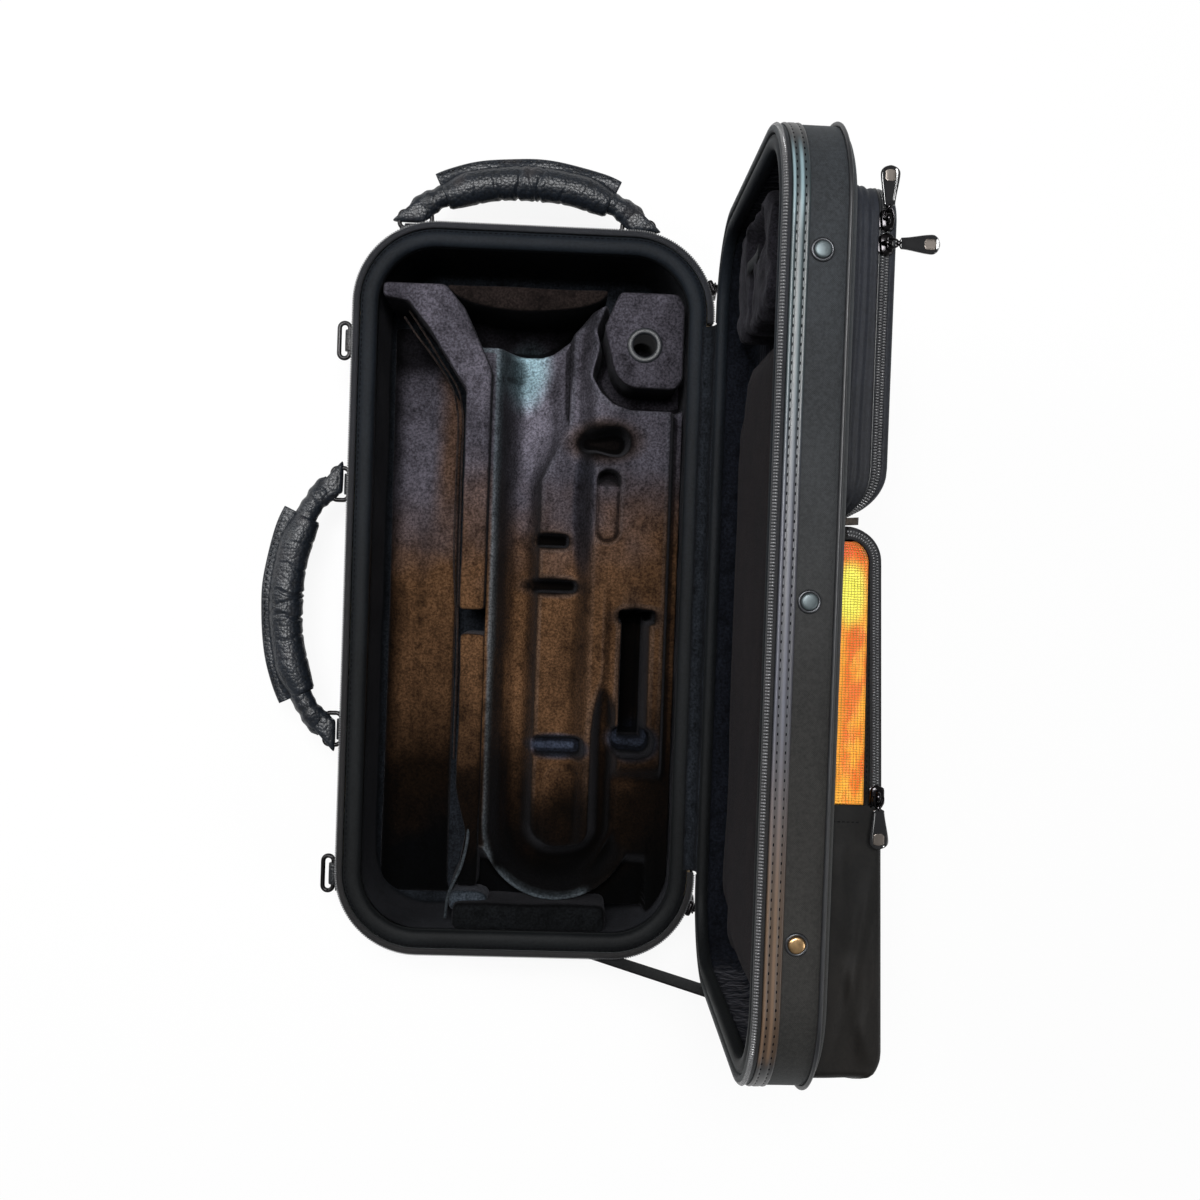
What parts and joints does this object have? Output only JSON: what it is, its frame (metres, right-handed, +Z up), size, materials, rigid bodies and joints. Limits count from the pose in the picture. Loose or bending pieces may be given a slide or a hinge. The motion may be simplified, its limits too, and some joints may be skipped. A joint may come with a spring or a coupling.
{
  "type": "trumpet case",
  "caption": "Zipped hard-shell trumpet case lying open at ninety degrees, with a moulded velvet insert, carrying handles and pockets on the lid.",
  "frame": {"origin": "centre of the base's flat bottom face", "axes": "+Y along the case towards the end handle, +X towards the hinge, +Z up out of the open base"},
  "size_m": [0.4407, 0.6206, 0.3776],
  "materials": {
    "nylon_cover": "woven ballistic nylon",
    "board_shell": "laminated board and foam",
    "velvet": "short-pile velvet",
    "velvet_foam": "velvet over moulded foam",
    "binding_vinyl": "padded smooth binding",
    "zip_tape": "woven tape with moulded teeth",
    "band_vinyl": "glossy stitched strip",
    "piping_vinyl": "piped edge",
    "grip_leather": "pebbled synthetic leather",
    "ring_steel": "black nickel plated wire",
    "rivet_metal": "black nickel caps",
    "slider_metal": "black nickel die cast",
    "grommet_plastic": "black moulded ring",
    "orange_mesh": "orange mesh",
    "blank_plate": "plain plate",
    "webbing": "woven webbing"
  },
  "bodies": {
    "base": {"base_cover": "nylon_cover", "base_shell": "board_shell", "base_lining": "velvet", "base_piping": "piping_vinyl", "base_rim_binding": "binding_vinyl", "base_zip": "zip_tape", "tray_floor_pad": "velvet", "cradle_bell_end": "velvet_foam", "cradle_channel": "velvet_foam", "cradle_deck": "velvet_foam", "cradle_bow_end": "velvet_foam", "divider_ridge": "velvet_foam", "divider_lower": "velvet_foam", "bell_plug": "velvet_foam", "mouthpiece_block": "velvet_foam", "mouthpiece_grommet": "grommet_plastic", "end_block": "velvet_foam", "wall_tabs": "grip_leather", "tab_rivets": "rivet_metal", "stay_strap": "webbing", "stay_base_rivet": "rivet_metal", "hinge_spine": "nylon_cover", "hinge_gusset": "velvet"},
    "lid": {"lid_cover": "nylon_cover", "lid_shell": "board_shell", "lid_lining": "velvet", "lid_piping": "piping_vinyl", "lid_rim_binding": "binding_vinyl", "lid_zip": "zip_tape", "lid_band": "band_vinyl", "lid_studs": "rivet_metal", "lid_pad": "velvet_foam", "lid_pad_block": "velvet_foam", "stay_lid_rivet": "rivet_metal", "upper_pocket_gusset": "nylon_cover", "upper_pocket_zip": "zip_tape", "lower_pocket_body": "nylon_cover", "lower_pocket_zip": "zip_tape", "mesh_panel": "orange_mesh", "pocket_tab": "webbing", "blank_badge": "blank_plate"},
    "side_handle": {"side_handle_core": "grip_leather", "side_handle_grip": "grip_leather", "side_handle_rings": "ring_steel"},
    "end_handle": {"end_handle_core": "grip_leather", "end_handle_grip": "grip_leather", "end_handle_rings": "ring_steel"},
    "strap_ring_high": {"strap_ring_high": "ring_steel"},
    "strap_ring_low": {"strap_ring_low": "ring_steel"},
    "main_low_slider": {"main_low_slider": "slider_metal"},
    "main_low_pull": {"main_low_pull": "slider_metal"},
    "main_high_slider": {"main_high_slider": "slider_metal"},
    "main_high_pull": {"main_high_pull": "slider_metal"},
    "pocket_flap": {"upper_pocket_front": "nylon_cover"},
    "upper_first_slider": {"upper_pocket_first_slider": "slider_metal"},
    "upper_first_pull": {"upper_pocket_first_pull": "slider_metal"},
    "upper_second_slider": {"upper_pocket_second_slider": "slider_metal"},
    "upper_second_pull": {"upper_pocket_second_pull": "slider_metal"},
    "lower_slider": {"lower_pocket_slider": "slider_metal"},
    "lower_pull": {"lower_pocket_pull": "slider_metal"}
  },
  "joints": [
    {"name": "lid_hinge", "type": "hinge", "parent": "base", "child": "lid", "pos_m": [0.135, 0, 0.105], "axis": [0, 1, 0], "range_deg": [-90, 0], "deforming": ["stay_strap", "hinge_spine", "hinge_gusset"]},
    {"name": "side_handle_swing", "type": "hinge", "parent": "base", "child": "side_handle", "pos_m": [-0.1415, -0.016, 0.06], "axis": [0, 1, 0], "range_deg": [-40, 70]},
    {"name": "end_handle_swing", "type": "hinge", "parent": "base", "child": "end_handle", "pos_m": [-0.009, 0.2815, 0.06], "axis": [1, 0, 0], "range_deg": [-40, 65]},
    {"name": "strap_ring_high_swing", "type": "hinge", "parent": "base", "child": "strap_ring_high", "pos_m": [-0.1415, 0.189, 0.075], "axis": [0, 1, 0], "range_deg": [-60, 70]},
    {"name": "strap_ring_low_swing", "type": "hinge", "parent": "base", "child": "strap_ring_low", "pos_m": [-0.1415, -0.222, 0.075], "axis": [0, 1, 0], "range_deg": [-60, 70]},
    {"name": "main_low_slider_travel", "type": "hinge", "parent": "base", "child": "main_low_slider", "pos_m": [0.073, -0.213, 0.1022], "axis": [0, 0, 1], "range_deg": [-42, 0]},
    {"name": "main_low_pull_swing", "type": "hinge", "parent": "main_low_slider", "child": "main_low_pull", "pos_m": [0.13615, -0.23598, 0.1022], "axis": [-0.342, -0.9397, 0], "range_deg": [0, 75]},
    {"name": "main_high_slider_travel", "type": "hinge", "parent": "base", "child": "main_high_slider", "pos_m": [0.073, 0.213, 0.1022], "axis": [0, 0, 1], "range_deg": [0, 42]},
    {"name": "main_high_pull_swing", "type": "hinge", "parent": "main_high_slider", "child": "main_high_pull", "pos_m": [0.13615, 0.23598, 0.1022], "axis": [0.342, -0.9397, 0], "range_deg": [0, 75]},
    {"name": "pocket_flap_hinge", "type": "hinge", "parent": "lid", "child": "pocket_flap", "pos_m": [0.2022, 0.1455, 0.137], "axis": [0, 1, 0], "range_deg": [0, 80]},
    {"name": "upper_first_slider_travel", "type": "slide", "parent": "lid", "child": "upper_first_slider", "axis": [0, 1, 0], "range_m": [0, 0.008]},
    {"name": "upper_first_pull_swing", "type": "hinge", "parent": "upper_first_slider", "child": "upper_first_pull", "pos_m": [0.1997, 0.217, 0.3482], "axis": [1, 0, 0], "range_deg": [0, 120]},
    {"name": "upper_second_slider_travel", "type": "slide", "parent": "lid", "child": "upper_second_slider", "axis": [0, 1, 0], "range_m": [-0.115, 0]},
    {"name": "upper_second_pull_swing", "type": "hinge", "parent": "upper_second_slider", "child": "upper_second_pull", "pos_m": [0.1997, 0.2035, 0.3482], "axis": [0, 1, 0], "range_deg": [-120, 0]},
    {"name": "lower_slider_travel", "type": "slide", "parent": "lid", "child": "lower_slider", "axis": [-0.0397, 0.9992, 0], "range_m": [0, 0.125]},
    {"name": "lower_pull_swing", "type": "hinge", "parent": "lower_slider", "child": "lower_pull", "pos_m": [0.20616, -0.103, 0.3494], "axis": [0.9992, 0.0397, 0], "range_deg": [-120, 0]}
  ]
}
